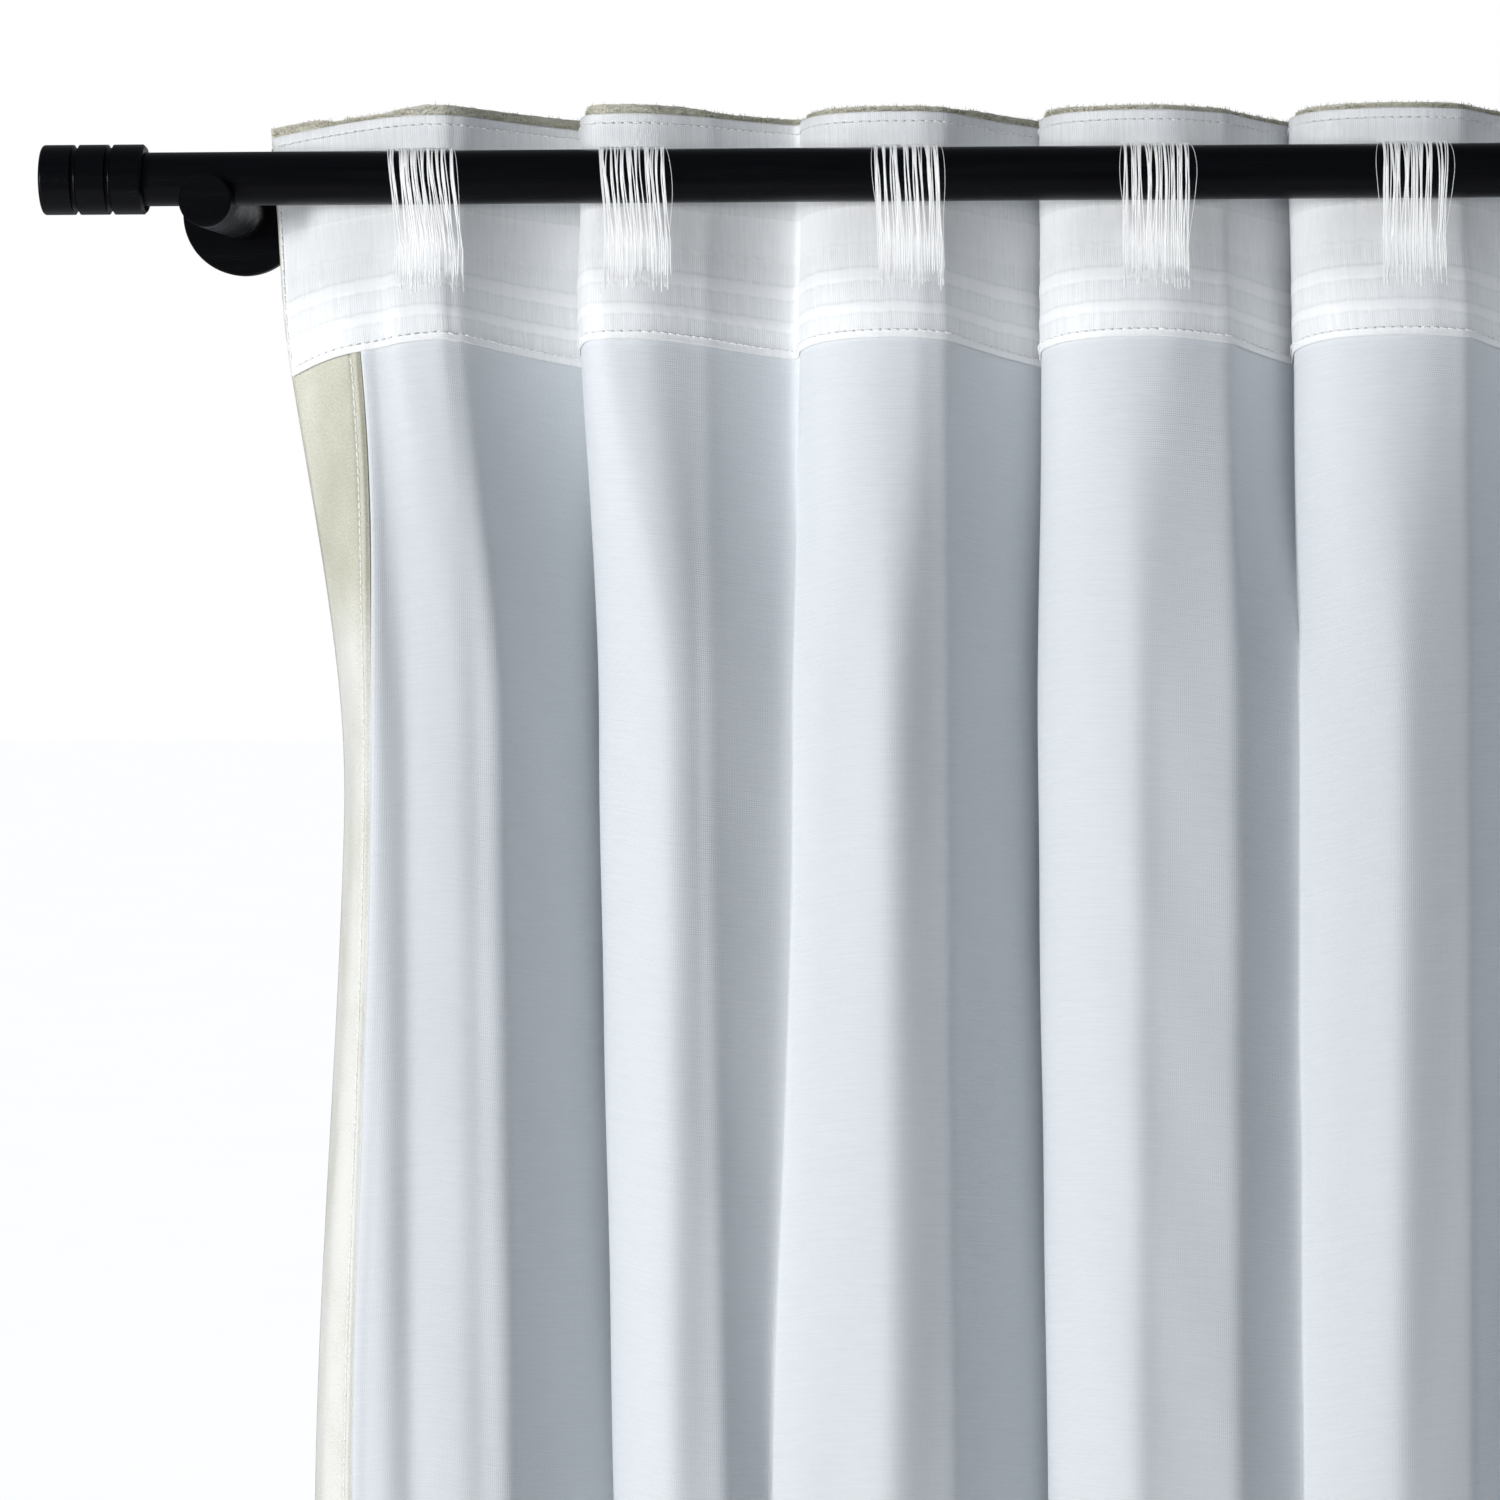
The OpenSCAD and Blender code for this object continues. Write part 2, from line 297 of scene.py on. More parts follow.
LOOP_S = np.array([flat_s_at(x) for x in LOOP_X])


# ---------------------------------------------------------------- mesh helpers
def new_piece(name, verts, faces, material, body, uv=None):
    """A smooth mesh object of one material that rides on a body. uv holds its flat coordinates."""
    mesh = bpy.data.meshes.new(name)
    mesh.from_pydata([tuple(p) for p in np.asarray(verts, float)], [], faces)
    if uv is not None:
        layer = mesh.uv_layers.new(name="flat")
        index = np.zeros(len(mesh.loops), int)
        mesh.loops.foreach_get("vertex_index", index)
        layer.data.foreach_set("uv", np.asarray(uv, np.float32)[index].ravel())
    mesh.polygons.foreach_set("use_smooth", [True] * len(mesh.polygons))
    mesh.materials.append(material)
    mesh.update()
    piece = bpy.data.objects.new(name, mesh)
    bpy.context.scene.collection.objects.link(piece)
    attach(piece, body)
    return piece


def gathers(piece):
    """The piece gets a mesh of its own."""
    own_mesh(piece)
    return piece


def shell(s, v, near, far):
    """A closed thin shell of cloth over flat coordinates s and v, between two offsets towards the room."""
    gs, gv = np.meshgrid(s, v) if v.ndim == 1 else (np.broadcast_to(s, v.shape), v)
    p, n = on_cloth(gs, gv)
    near, far = np.broadcast_to(near, gs.shape), np.broadcast_to(far, gs.shape)
    front = (p + n * near[..., None]).reshape(-1, 3)
    back = (p + n * far[..., None]).reshape(-1, 3)
    rows, cols = gs.shape
    k = np.arange(rows * cols).reshape(rows, cols)
    a, b, c, d = k[:-1, :-1], k[:-1, 1:], k[1:, 1:], k[1:, :-1]
    ahead = np.stack([a, d, c, b], axis=-1).reshape(-1, 4)
    behind = np.stack([a, b, c, d], axis=-1).reshape(-1, 4) + rows * cols
    rim = np.concatenate([k[0, :], k[1:, -1], k[-1, -2::-1], k[-2:0:-1, 0]])
    after = np.roll(rim, -1)
    side = np.stack([rim, after, after + rows * cols, rim + rows * cols], axis=-1)
    faces = np.concatenate([ahead, behind, side])
    uv = np.stack([gs.ravel(), gv.ravel()], axis=-1)
    return np.concatenate([front, back]), faces.tolist(), np.concatenate([uv, uv])


def tubes(paths, radii, sides):
    """Closed round tubes along a list of paths, as one mesh."""
    verts, faces = [], []
    turn = np.arange(sides) * 2 * math.pi / sides
    base = 0
    for path, radius in zip(paths, radii):
        path = np.asarray(path)
        tangent = np.gradient(path, axis=0)
        tangent /= np.linalg.norm(tangent, axis=1, keepdims=True)
        first = np.cross(tangent, (1.0, 0.13, 0.07))
        first /= np.linalg.norm(first, axis=1, keepdims=True)
        second = np.cross(tangent, first)
        ring = np.cos(turn)[None, :, None] * first[:, None] + np.sin(turn)[None, :, None] * second[:, None]
        r = np.broadcast_to(radius, len(path))[:, None, None]
        verts.append((path[:, None] + ring * r).reshape(-1, 3))
        n = len(path)
        k = base + np.arange(n * sides).reshape(n, sides)
        nxt = np.roll(k, -1, axis=1)
        faces.append(np.stack([k[:-1], nxt[:-1], nxt[1:], k[1:]], axis=-1).reshape(-1, 4).tolist())
        faces.append([k[0][::-1].tolist(), k[-1].tolist()])
        base += n * sides
    return np.concatenate(verts), [f for group in faces for f in group]


# ---------------------------------------------------------------- materials
def node_material(name, base, roughness):
    """A new material and its Principled shader."""
    material = bpy.data.materials.new(name)
    material.use_nodes = True
    shader = material.node_tree.nodes["Principled BSDF"]
    shader.inputs["Base Color"].default_value = (*base, 1)
    shader.inputs["Roughness"].default_value = roughness
    return material, shader


def add(material, kind, **values):
    """A new node. The values set its sockets, or else its own settings."""
    node = material.node_tree.nodes.new(kind)
    for key, value in values.items():
        if key in node.inputs:
            node.inputs[key].default_value = value
        else:
            setattr(node, key, value)
    return node


def join(material, source, target):
    material.node_tree.links.new(source, target)


UNIT = (1, 1, 1)


def flat_place(material, scale):
    """The cloth's flat coordinates in metres, stretched by scale."""
    uv = add(material, "ShaderNodeUVMap", uv_map="flat")
    mapping = add(material, "ShaderNodeMapping")
    mapping.inputs["Scale"].default_value = scale
    join(material, uv.outputs["UV"], mapping.inputs["Vector"])
    return mapping.outputs["Vector"]


def object_place(material, scale):
    """The object's own coordinates in metres, stretched by scale."""
    place = add(material, "ShaderNodeTexCoord")
    mapping = add(material, "ShaderNodeMapping")
    mapping.inputs["Scale"].default_value = scale
    join(material, place.outputs["Object"], mapping.inputs["Vector"])
    return mapping.outputs["Vector"]


def noise(material, place, scale, detail=3.0, roughness=0.5):
    node = add(material, "ShaderNodeTexNoise", Scale=scale, Detail=detail, Roughness=roughness)
    join(material, place, node.inputs["Vector"])
    return node.outputs["Fac"]


def wave(material, place, scale, direction):
    """Straight even ribs across a direction, X or Y."""
    node = add(material, "ShaderNodeTexWave", Scale=scale, Distortion=0.0)
    node.bands_direction = direction
    node.wave_profile = "SIN"
    join(material, place, node.inputs["Vector"])
    return node.outputs["Fac"]


def ramp(material, fac, stops):
    """A colour for each value of fac, between stops of (position, colour)."""
    node = add(material, "ShaderNodeValToRGB")
    elements = node.color_ramp.elements
    while len(elements) < len(stops):
        elements.new(0.5)
    for element, (position, colour) in zip(elements, stops):
        element.position = position
        element.color = (*colour, 1)
    join(material, fac, node.inputs["Fac"])
    return node.outputs["Color"]


def maths(material, operation, a, b):
    """A Math node over two values, each a number or a socket."""
    node = add(material, "ShaderNodeMath", operation=operation)
    for socket, value in zip(node.inputs, (a, b)):
        if isinstance(value, (int, float)):
            socket.default_value = value
        else:
            join(material, value, socket)
    return node.outputs["Value"]


def times(material, a, b):
    return maths(material, "MULTIPLY", a, b)


def plus(material, a, b):
    return maths(material, "ADD", a, b)


def minus(material, a, b):
    return maths(material, "SUBTRACT", a, b)


def down_cloth(material):
    """The cloth's flat coordinate v in metres."""
    split = add(material, "ShaderNodeSeparateXYZ")
    join(material, flat_place(material, UNIT), split.inputs["Vector"])
    return split.outputs["Y"]


def bump(material, shader, height, distance, strength=1.0):
    node = add(material, "ShaderNodeBump", Strength=strength, Distance=distance)
    join(material, height, node.inputs["Height"])
    join(material, node.outputs["Normal"], shader.inputs["Normal"])


def lining_material():
    """A plain weave with fine slubs across, in a pale blue-grey."""
    material, shader = node_material("lining_cloth", (0.6, 0.66, 0.73), 0.62)
    shader.inputs["Sheen Weight"].default_value = 0.12
    shader.inputs["Sheen Roughness"].default_value = 0.4
    slubs = noise(material, flat_place(material, (40, 900, 1)), scale=1.0, detail=4, roughness=0.6)
    tones = [(0.30, (0.725, 0.755, 0.785)), (0.5, (0.745, 0.775, 0.805)), (0.72, (0.765, 0.795, 0.825))]
    join(material, ramp(material, slubs, tones), shader.inputs["Base Color"])
    warp = wave(material, flat_place(material, UNIT), 340, "X")
    weft = wave(material, flat_place(material, UNIT), 300, "Y")
    height = plus(material, times(material, slubs, 3.0), plus(material, warp, weft))
    bump(material, shader, height, distance=0.12 * MM, strength=0.5)
    return material


def velvet_material(name, dark, middle, light, paler_below=None):
    """Cream cut-pile velvet with brushed patches. Between two levels it may turn paler."""
    material, shader = node_material(name, middle, 0.9)
    shader.inputs["Sheen Weight"].default_value = 0.5
    shader.inputs["Sheen Roughness"].default_value = 0.35
    shader.inputs["Sheen Tint"].default_value = (1.0, 0.98, 0.9, 1)
    patches = noise(material, flat_place(material, (9, 5, 1)), scale=2.2, detail=4, roughness=0.55)
    pile = noise(material, flat_place(material, UNIT), scale=900, detail=3, roughness=0.7)
    both = plus(material, times(material, patches, 0.6), times(material, pile, 0.4))
    if paler_below is not None:
        start, end = paler_below
        low = add(material, "ShaderNodeMapRange", interpolation_type="SMOOTHSTEP")
        join(material, down_cloth(material), low.inputs["Value"])
        for socket, value in (("From Min", start), ("From Max", end), ("To Min", -0.06), ("To Max", 0.14)):
            low.inputs[socket].default_value = value
        both = plus(material, both, low.outputs["Result"])
    colour = ramp(material, both, [(0.34, dark), (0.5, middle), (0.66, light)])
    join(material, colour, shader.inputs["Base Color"])
    bump(material, shader, pile, distance=0.6 * MM, strength=0.8)
    return material


def shaded_pile_material():
    """The cut pile seen from its side, darker than the velvet's face as painted shade, in random patches of
    lighter and darker cream.
    """
    material, shader = node_material("velvet_pile_tufts_painted_shade", (0.6, 0.57, 0.42), 0.9)
    shader.inputs["Sheen Weight"].default_value = 0.3
    patches = noise(material, object_place(material, (55, 55, 160)), scale=1.0, detail=4, roughness=0.6)
    tones = [(0.34, (0.36, 0.34, 0.22)), (0.5, (0.58, 0.56, 0.42)), (0.66, (0.80, 0.78, 0.66))]
    join(material, ramp(material, patches, tones), shader.inputs["Base Color"])
    return material


BAND_BLUR = 0.004


def bands(material, fac, edges, first):
    """1 and 0 in turn between rising edges of fac, beginning with first."""
    node = add(material, "ShaderNodeValToRGB")
    node.color_ramp.interpolation = "LINEAR"
    elements = node.color_ramp.elements
    stops, value = [(0.0, first)], first
    for edge in edges:
        stops += [(edge - BAND_BLUR, value), (edge + BAND_BLUR, 1 - value)]
        value = 1 - value
    while len(elements) < len(stops):
        elements.new(1.0)
    for element, (position, level) in zip(elements, stops):
        element.position = position
        element.color = (level, level, level, 1)
    join(material, fac, node.inputs["Fac"])
    return node.outputs["Color"]


# Where the heading tape changes, as shares of its height from its top. It begins ribbed, and its ribs end and
# begin again in turn. Its close-woven light strips, and the fine dark lines of painted shadow by them, begin
# and end in turn.
TAPE_RIBBED = [0.428, 0.619, 0.724, 0.774, 0.865, 0.901, 0.975]
TAPE_STRIPS = [0.614, 0.623, 0.724, 0.774, 0.865, 0.901, 0.978]
TAPE_SHADOW_LINES = [0.420, 0.429, 0.713, 0.722, 0.777, 0.786, 0.855, 0.864, 0.904, 0.913]
TAPE_TONES = [
    (0.05, (0.78, 0.80, 0.81)),
    (0.45, (0.895, 0.91, 0.92)),
    (0.62, (0.925, 0.935, 0.945)),
    (0.95, (0.97, 0.975, 0.98)),
]


def tape_material():
    """Sheer white woven tape: ribbed bands, smooth ones between them and close-woven light strips, with
    painted shadow lines along the strips' edges.
    """
    material, shader = node_material("tape_weave", (0.9, 0.91, 0.92), 0.5)
    flat = flat_place(material, UNIT)
    wavy = times(material, noise(material, flat_place(material, (120, 4, 1)), scale=1.0, detail=2), 0.02)
    down = maths(material, "DIVIDE", minus(material, down_cloth(material), TAPE_TOP), TAPE_H)
    down = plus(material, down, wavy)
    ribbed = bands(material, down, TAPE_RIBBED, 1)
    strips = bands(material, down, TAPE_STRIPS, 0)
    shadow_lines = bands(material, down, TAPE_SHADOW_LINES, 0)
    ribs = times(material, wave(material, flat, 314, "X"), ribbed)
    threads = noise(material, flat_place(material, (700, 50, 1)), scale=1.0, detail=3, roughness=0.6)
    streak = maths(material, "GREATER_THAN", wave(material, flat, 33.8, "X"), 0.985)
    dashes = noise(material, flat_place(material, (60, 500, 1)), scale=1.0, detail=1)
    streaks = times(material, streak, maths(material, "GREATER_THAN", dashes, 0.5))
    tone = minus(material, threads, times(material, ribs, 0.30))
    tone = plus(material, tone, times(material, strips, 0.11))
    # painted shadow: fine dark lines along the edges of the light strips
    tone = minus(material, tone, times(material, shadow_lines, 0.20))
    tone = plus(material, tone, times(material, streaks, 0.25))
    join(material, ramp(material, tone, TAPE_TONES), shader.inputs["Base Color"])
    height = plus(material, ribs, times(material, threads, 0.5))
    bump(material, shader, height, distance=0.1 * MM, strength=0.4)
    return material


def thread_material():
    """White twisted thread that lets some light through."""
    material, shader = node_material("loop_thread", (0.95, 0.95, 0.95), 0.5)
    shader.inputs["Sheen Weight"].default_value = 0.3
    shader.inputs["Sheen Roughness"].default_value = 0.5
    shader.inputs["Subsurface Weight"].default_value = 0.7
    shader.inputs["Subsurface Radius"].default_value = (1, 1, 1)
    shader.inputs["Subsurface Scale"].default_value = 0.8 * MM
    ply = noise(material, object_place(material, (600, 600, 200)), scale=1.0, detail=2, roughness=0.5)
    colour = ramp(material, ply, [(0.3, (0.95, 0.955, 0.96)), (0.65, (0.99, 0.99, 0.99))])
    join(material, colour, shader.inputs["Base Color"])
    bump(material, shader, ply, distance=0.2 * MM, strength=0.6)
    return material


def black_metal_material():
    """Black powder coat with a satin gloss and a very fine grain."""
    material, shader = node_material("black_satin_metal", (0.003, 0.003, 0.004), 0.3)
    shader.inputs["Specular IOR Level"].default_value = 0.1
    grain = noise(material, object_place(material, UNIT), scale=2600, detail=2, roughness=0.6)
    streaks = noise(material, object_place(material, (4, 60, 60)), scale=3.0, detail=3, roughness=0.5)
    colour = ramp(material, streaks, [(0.3, (0.0012, 0.0013, 0.002)), (0.7, (0.0028, 0.003, 0.004))])
    join(material, colour, shader.inputs["Base Color"])
    rough = plus(material, times(material, streaks, 0.12), 0.20)
    join(material, rough, shader.inputs["Roughness"])
    bump(material, shader, grain, distance=0.06 * MM, strength=0.35)
    return material


def zinc_material():
    """Bright zinc plate with a faint spangle."""
    material, shader = node_material("zinc_plate", (0.56, 0.56, 0.57), 0.4)
    shader.inputs["Metallic"].default_value = 1.0
    spangle = noise(material, object_place(material, UNIT), scale=220, detail=3, roughness=0.6)
    colour = ramp(material, spangle, [(0.35, (0.45, 0.45, 0.46)), (0.65, (0.64, 0.64, 0.65))])
    join(material, colour, shader.inputs["Base Color"])
    bump(material, shader, spangle, distance=0.05 * MM, strength=0.4)
    return material


def plug_material():
    """Matte black nylon with the fine grain of its mould."""
    material, shader = node_material("plug_nylon", (0.03, 0.03, 0.033), 0.5)
    mould = noise(material, object_place(material, UNIT), scale=700, detail=3, roughness=0.6)
    colour = ramp(material, mould, [(0.35, (0.024, 0.024, 0.026)), (0.65, (0.04, 0.04, 0.043))])
    join(material, colour, shader.inputs["Base Color"])
    bump(material, shader, mould, distance=0.1 * MM, strength=0.4)
    return material


LINING, TAPE, THREAD = lining_material(), tape_material(), thread_material()
VELVET = velvet_material("velvet_pile", (0.70, 0.67, 0.54), (0.80, 0.775, 0.66), (0.88, 0.86, 0.77))
VELVET_HEM = velvet_material(
    "velvet_hem", (0.54, 0.53, 0.42), (0.69, 0.68, 0.58), (0.87, 0.865, 0.82), paler_below=(0.20, 0.27)
)
# the pile tufts' darker cream is painted shade on the strip of velvet above the tape
SHADED_PILE = shaded_pile_material()
METAL_BY_SLOT = {
    "black_metal": black_metal_material(),
    "zinc_steel": zinc_material(),
    "plug_plastic": plug_material(),
}


def finish_hardware():
    """Every CAD node that stays gets the detailed material of its slot."""
    for part in frame["record"]["subparts"]:
        material = METAL_BY_SLOT.get(part["material_slot"])
        if material is not None:
            node = bpy.data.objects[part["node"]]
            node.data.materials.clear()
            node.data.materials.append(material)


# ---------------------------------------------------------------- the cloth pieces
# Each layer's faces, as offsets from the cloth's middle surface towards the room
VELVET_NEAR, VELVET_FAR = 0.0, -1.5 * MM
HEM_NEAR, HEM_FAR = 1.5 * MM, 0.2 * MM
LINING_NEAR, LINING_FAR = 2.3 * MM, 1.8 * MM
TAPE_FAR = 2.6 * MM


def spaced(low, high, step):
    """Values from low to high, about a step apart."""
    return np.linspace(low, high, max(2, int(round((high - low) / step)) + 1))


def head_and_rest(low, high, fine, coarse):
    """Levels from low to high, close together in the heading and further apart below it."""
    return np.concatenate([spaced(low, HEAD_V, fine)[:-1], spaced(HEAD_V, high, coarse)])


# How far the velvet's upper edge lies below its highest point, in mm, at places along the rod
TOP_EDGE = [
    (-540, 0.5), (-517, 0.8), (-509, 2.9), (-486, 2.9), (-466, 0.3), (-387, 0.3), (-378, 0.7), (-342, 0.9),
    (-325, 2.4), (-215, 2.5), (-205, 1.3), (-170, 1.5), (-150, 2.8), (60, 2.4), (120, 1.2), (260, 1.6),
    (300, 2.8), (430, 2.5), (480, 0.8), (540, 0.8),
]
EDGE_FADE = 12 * MM


def top_edge(s):
    """How far the velvet's upper edge lies below its highest point: slow steps and a ragged rim."""
    places = [flat_s_at(x * MM) for x, _ in TOP_EDGE]
    steps = np.interp(s, places, [low * MM for _, low in TOP_EDGE])
    ragged = np.sin(900 * s) * np.sin(370 * s + 1) + 0.6 * np.sin(2100 * s + 2 * np.sin(260 * s))
    return steps + 0.2 * MM + 0.14 * MM * ragged


def make_face_fabric():
    """The velvet over the whole panel, with its ragged upper edge."""
    s = spaced(0, FLAT_W, 2.2 * MM)
    v = head_and_rest(0, FLAT_L, 4 * MM, 12 * MM)[:, None]
    v = v + top_edge(s)[None, :] * (1 - smooth(0, EDGE_FADE, v))
    verts, faces, uv = shell(s, v, VELVET_NEAR, VELVET_FAR)
    piece = new_piece("face_velvet", verts, faces, VELVET, "rod", uv)
    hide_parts("face_fabric")
    return gathers(piece)


TUFTS, TUFT_R = 15000, 0.10 * MM


def make_pile():
    """The pile that stands up along the velvet's upper edge and on the strip of velvet above the tape."""
    rng = np.random.default_rng(21)
    s = np.sort(rng.uniform(1 * MM, FLAT_W - 1 * MM, TUFTS))
    edge = top_edge(s)
    root_v = edge + rng.uniform(0.1, 1, len(s)) * np.maximum(TAPE_TOP - edge, 0.4 * MM)
    p, n = on_cloth(s, root_v)
    at_rim = root_v < edge + 1 * MM
    p = p + n * np.where(at_rim, rng.uniform(-1.4, 0.1, len(s)), -0.05)[:, None] * MM
    lean = rng.normal(0, 0.28, (len(s), 3))
    length = np.where(at_rim, rng.uniform(0.6, 1.4, len(s)), rng.uniform(0.6, 1.2, len(s)))[:, None] * MM
    upwards = np.where(at_rim, 1.0, 0.5)[:, None] * np.array([0, 0, 1])
    rise = upwards + np.where(at_rim, 0.1, 0.9)[:, None] * n
    tip = p + length * (rise + lean)
    middle = (p + tip) / 2 + rng.normal(0, 0.08 * MM, (len(s), 3))
    verts, faces = tubes(np.stack([p, middle, tip], axis=1), np.full(len(s), TUFT_R), 3)
    return gathers(new_piece("velvet_pile_edge", verts, faces, SHADED_PILE, "rod"))


# How far the rolled rim and the seam lie inside a side hem's inner edge
HEM_RIM, HEM_SEAM = 2.2 * MM, 4.6 * MM


def hem_profile(across, width):
    """The near face of a side hem at each distance from the panel's edge: a rolled rim past a sunk seam."""
    rim = width - HEM_RIM
    seam = width - HEM_SEAM
    swell = 1.1 * MM * np.exp(-(((across - rim) / (1.3 * MM)) ** 2))
    sunk = 0.7 * MM * np.exp(-(((across - seam) / (0.8 * MM)) ** 2))
    return HEM_NEAR + swell - sunk


def make_side_hem(name, mirrored):
    """The velvet turned over the lining's side, from under the tape down. Its rim has closer points."""
    inner = SIDE_HEM - 7 * MM
    across = np.concatenate([spaced(0.2 * MM, inner, 3 * MM)[:-1], spaced(inner, SIDE_HEM, 0.5 * MM)])
    s = FLAT_W - across[::-1] if mirrored else across
    near = hem_profile(across, SIDE_HEM)
    v = head_and_rest(TAPE_TOP + 5 * MM, FLAT_L - 1 * MM, 5 * MM, 9 * MM)
    verts, faces, uv = shell(s, v, (near[::-1] if mirrored else near)[None, :], HEM_FAR)
    return gathers(new_piece(name, verts, faces, VELVET_HEM, "rod", uv))


def make_bottom_hem():
    """The velvet turned up over the lining's lower end, between the side hems."""
    s = spaced(SIDE_HEM + 1 * MM, FLAT_W - SIDE_HEM - 1 * MM, 3 * MM)
    v = spaced(FLAT_L - BOTTOM_HEM, FLAT_L - 0.5 * MM, 6 * MM)
    verts, faces, uv = shell(s, v, HEM_NEAR, HEM_FAR)
    return gathers(new_piece("bottom_hem", verts, faces, VELVET, "rod", uv))


TURNED_W = 9 * MM


def make_lining():
    """The lining, with a turned edge beside each side hem that lifts a little between its stitches."""
    left = SIDE_HEM + 0.4 * MM
    right = FLAT_W - left
    middle = spaced(left + TURNED_W, right - TURNED_W, 2.6 * MM)[:-1]
    sides = spaced(left, left + TURNED_W, 1.5 * MM)[:-1], spaced(right - TURNED_W, right, 1.5 * MM)
    s = np.concatenate([sides[0], middle, sides[1]])
    v = head_and_rest(LINING_TOP, LINING_END, 3.5 * MM, 8 * MM)
    from_edge = np.minimum(s - left, right - s)[None, :]
    turned = 0.7 * MM * (1 - smooth(2 * MM, 7 * MM, from_edge))
    gs, gv = np.meshgrid(s, v)
    crease = 0.35 * MM * np.sin(gs * 90 + 3 * np.sin(gv * 7)) * np.sin(gv * 31 + 4 * np.sin(gs * 17))
    crease = crease * smooth(0.1, 0.2, gv)
    verts, faces, uv = shell(s, v, LINING_NEAR + turned + crease, LINING_FAR + crease)
    piece = new_piece("lining_cloth", verts, faces, LINING, "rod", uv)
    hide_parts("lining")
    return gathers(piece)


# Bands of the heading tape, in mm: how far each one's upper edge is from the tape's top, and its thickness
TAPE_BANDS = [
    (0, 0.9), (1.2, 0.7), (46, 0.5), (66.3, 0.75), (67.2, 0.6), (78.5, 0.85), (84, 0.6), (94, 0.85),
    (98, 0.6), (106, 0.7), (108.8, 0.9),
]
BAND_STEP = 0.4 * MM


def tape_thickness(down):
    """Thickness of the tape at each distance from its top edge."""
    thick = np.full(down.shape, TAPE_BANDS[0][1])
    for (start, value), (_, before) in zip(TAPE_BANDS[1:], TAPE_BANDS):
        thick += (value - before) * smooth(start * MM - BAND_STEP, start * MM + BAND_STEP, down)
    return thick * MM


def make_tape():
    """The heading tape, whose bands have scalloped edges."""
    s = spaced(TAPE_INSET, FLAT_W - TAPE_INSET, 1.6 * MM)
    down = spaced(0, TAPE_H, 1.1 * MM)
    scallop = 0.6 * MM * np.sin(s / (1.3 * MM))[None, :]
    near = TAPE_FAR + tape_thickness(down[:, None] + scallop * smooth(15 * MM, 20 * MM, down)[:, None])
    verts, faces, uv = shell(s, TAPE_TOP + down, near, TAPE_FAR)
    piece = new_piece("heading_tape_weave", verts, faces, TAPE, "rod", uv)
    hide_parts("heading_tape")
    return gathers(piece)


# ---------------------------------------------------------------- stitching
STITCH, STITCH_GAP, STITCH_R = 3.2 * MM, 0.8 * MM, 0.44 * MM


def stitches(name, s, v, height, material):
    """A row of lockstitches along flat coordinates s and v, at a height over the cloth's middle surface."""
    length = np.concatenate([[0], np.cumsum(np.hypot(np.diff(s), np.diff(v)))])
    pitch = STITCH + STITCH_GAP
    starts = np.arange(pitch / 2, length[-1] - pitch, pitch)
    bow = np.array([-0.25, 0.1, 0.22, 0.1, -0.25]) * MM
    paths = []
    for start in starts:
        at = start + np.linspace(0, STITCH, len(bow))
        p, n = on_cloth(np.interp(at, length, s), np.interp(at, length, v))
        paths.append(p + n * (height + bow)[:, None])
    verts, faces = tubes(paths, [STITCH_R] * len(paths), 5)
    return gathers(new_piece(name, verts, faces, material, "rod"))


def make_stitching():
    """The four rows that hold the tape, top and bottom first, and the two along the side hems."""
    rows = []
    ends = (3.5 * MM, FLAT_W - 3.5 * MM)
    along = spaced(*ends, 2 * MM)
    for name, down in (("tape_stitches_top", 4.5 * MM), ("tape_stitches_low", TAPE_H - 3.6 * MM)):
        v = np.full(along.shape, TAPE_TOP + down)
        rows.append(stitches(name, along, v, TAPE_FAR + 1.0 * MM, THREAD))
    for name, s in zip(("tape_stitches_left", "tape_stitches_right"), ends):
        v = spaced(TAPE_TOP + 5 * MM, TAPE_TOP + TAPE_H - 4 * MM, 2 * MM)
        rows.append(stitches(name, np.full(v.shape, s), v, TAPE_FAR + 0.8 * MM, THREAD))
    v = spaced(TAPE_TOP + TAPE_H, FLAT_L - 3 * MM, 6 * MM)
    seam = SIDE_HEM - HEM_SEAM
    for name, s in (("hem_stitches_left", seam), ("hem_stitches_right", FLAT_W - seam)):
        rows.append(stitches(name, np.full(v.shape, s), v, HEM_NEAR - 0.35 * MM, THREAD))
    return rows


# ---------------------------------------------------------------- the thread loops
STRANDS, STRAND_R = 42, 0.33 * MM
STRAY_R = 0.45 * STRAND_R
CLUSTERS = 9
# Flat depths at which the threads leave the tape, land on it again, and end in it
LEAVE_V, LAND_V, END_V = 21.5 * MM, 70 * MM, 92 * MM
ARC_STEPS, RUN_STEPS, LAID_STEPS = 14, 9, 6


